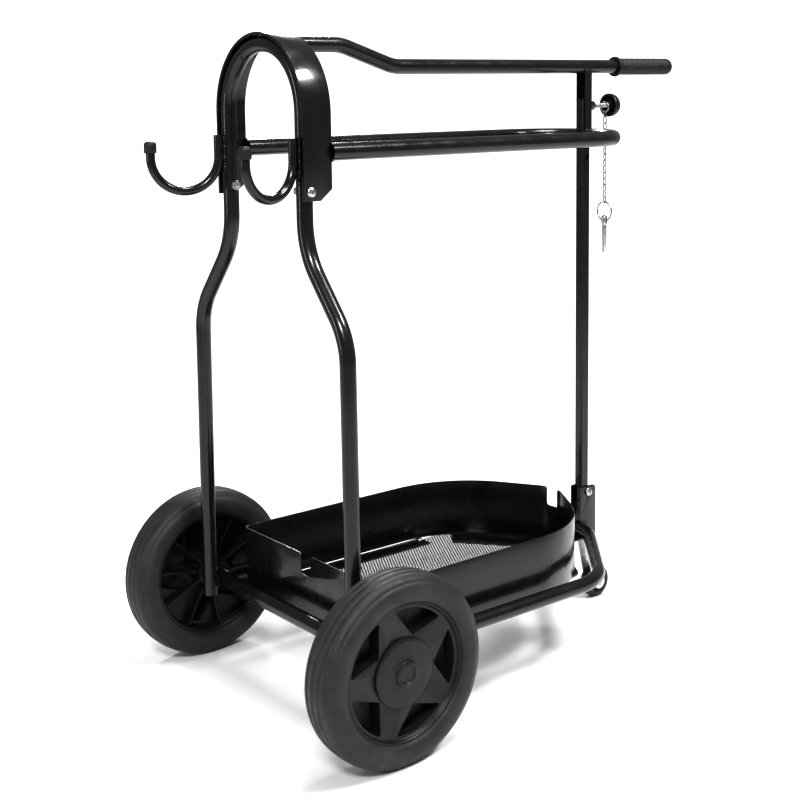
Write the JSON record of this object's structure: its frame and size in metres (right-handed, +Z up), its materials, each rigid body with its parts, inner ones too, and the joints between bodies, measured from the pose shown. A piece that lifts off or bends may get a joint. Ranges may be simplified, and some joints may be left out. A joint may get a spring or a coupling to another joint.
{
  "type": "folding saddle cart",
  "caption": "Folding two-wheeled saddle and tack trolley with a long pushing handle, a saddle rail loop, two bridle hooks, a grooming tray and a chained locking pin.",
  "frame": {"origin": "middle of the whole object's plan, on the floor under the two big wheels and the rear roller", "axes": "+X from the arch and big wheels towards the hand grip, +Y to the side that is on the left when looking along +X, +Z up"},
  "size_m": [1.0034, 0.5808, 1.0137],
  "materials": {
    "black_coat": "gloss",
    "zinc": "satin",
    "tyre_rubber": "satin",
    "rubber": "satin",
    "plastic": "satin",
    "nylon": "satin"
  },
  "bodies": {
    "frame": {"front_frame_tube": "black_coat", "axle_tube": "black_coat", "wheel_axle": "zinc", "axle_bush_left": "plastic", "axle_bush_right": "plastic", "axle_washer_left": "zinc", "axle_washer_right": "zinc", "axle_lock_ring_left": "zinc", "axle_lock_ring_right": "zinc", "base_rail": "black_coat", "tray_wall": "black_coat", "tray_floor": "black_coat", "tray_support_left": "black_coat", "tray_support_right": "black_coat", "tray_support_rear": "black_coat", "tray_rivet_left": "zinc", "tray_rivet_right": "zinc", "rear_bracket": "black_coat", "roller_fork": "zinc", "roller_bolt": "zinc", "roller_nut": "zinc", "post_bolt": "zinc", "post_nut": "zinc", "hook_left": "black_coat", "hook_right": "black_coat", "hook_cap_left": "rubber", "hook_cap_right": "rubber", "fold_bolt_left": "zinc", "fold_bolt_right": "zinc", "fold_nut_left": "zinc", "fold_nut_right": "zinc"},
    "wheel_left": {"tyre_left": "tyre_rubber", "wheel_hub_left": "plastic", "hub_cap_left": "plastic", "wheel_bush_left": "nylon"},
    "wheel_right": {"tyre_right": "tyre_rubber", "wheel_hub_right": "plastic", "hub_cap_right": "plastic", "wheel_bush_right": "nylon"},
    "roller": {"roller_tyre": "rubber", "roller_hub": "plastic"},
    "post": {"post": "black_coat", "post_plug": "plastic"},
    "carrier": {"strap_arch": "black_coat", "saddle_rail": "black_coat", "handle_tube": "black_coat", "handle_grip": "rubber", "clamp_channel": "black_coat", "clamp_nut": "black_coat"},
    "knob": {"knob_head": "plastic", "knob_screw": "zinc"},
    "chain": {"chain_ring": "zinc", "pin_chain": "zinc"},
    "pin": {"pin_ring": "zinc", "lock_pin": "zinc"}
  },
  "joints": [
    {"name": "wheel_left_spin", "type": "hinge", "parent": "frame", "child": "wheel_left", "pos_m": [-0.3523, 0.2574, 0.138], "axis": [0, 1, 0], "continuous": true},
    {"name": "wheel_right_spin", "type": "hinge", "parent": "frame", "child": "wheel_right", "pos_m": [-0.3523, -0.2574, 0.138], "axis": [0, 1, 0], "continuous": true},
    {"name": "roller_spin", "type": "hinge", "parent": "frame", "child": "roller", "pos_m": [0.31315, 0, 0.029], "axis": [0, 1, 0], "continuous": true},
    {"name": "carrier_fold", "type": "hinge", "parent": "frame", "child": "carrier", "pos_m": [-0.37685, 0, 0.7895], "axis": [0, 1, 0], "range_deg": [0, 37]},
    {"name": "post_fold", "type": "hinge", "parent": "frame", "child": "post", "pos_m": [0.28415, 0, 0.2045], "axis": [0, -1, 0], "range_deg": [0, 89]},
    {"name": "knob_turn", "type": "hinge", "parent": "carrier", "child": "knob", "pos_m": [0.34065, 0, 0.897], "axis": [1, 0, 0], "range_deg": [0, 720]},
    {"name": "chain_swing", "type": "hinge", "parent": "carrier", "child": "chain", "pos_m": [0.33415, 0, 0.897], "axis": [1, 0, 0], "range_deg": [-85, 85]},
    {"name": "pin_swing", "type": "hinge", "parent": "chain", "child": "pin", "pos_m": [0.33415, 0, 0.7256], "axis": [0, 1, 0], "range_deg": [-80, 25]}
  ],
  "couplings": [
    {"joint": "post_fold", "follows": "carrier_fold", "ratio": 2.4}
  ]
}
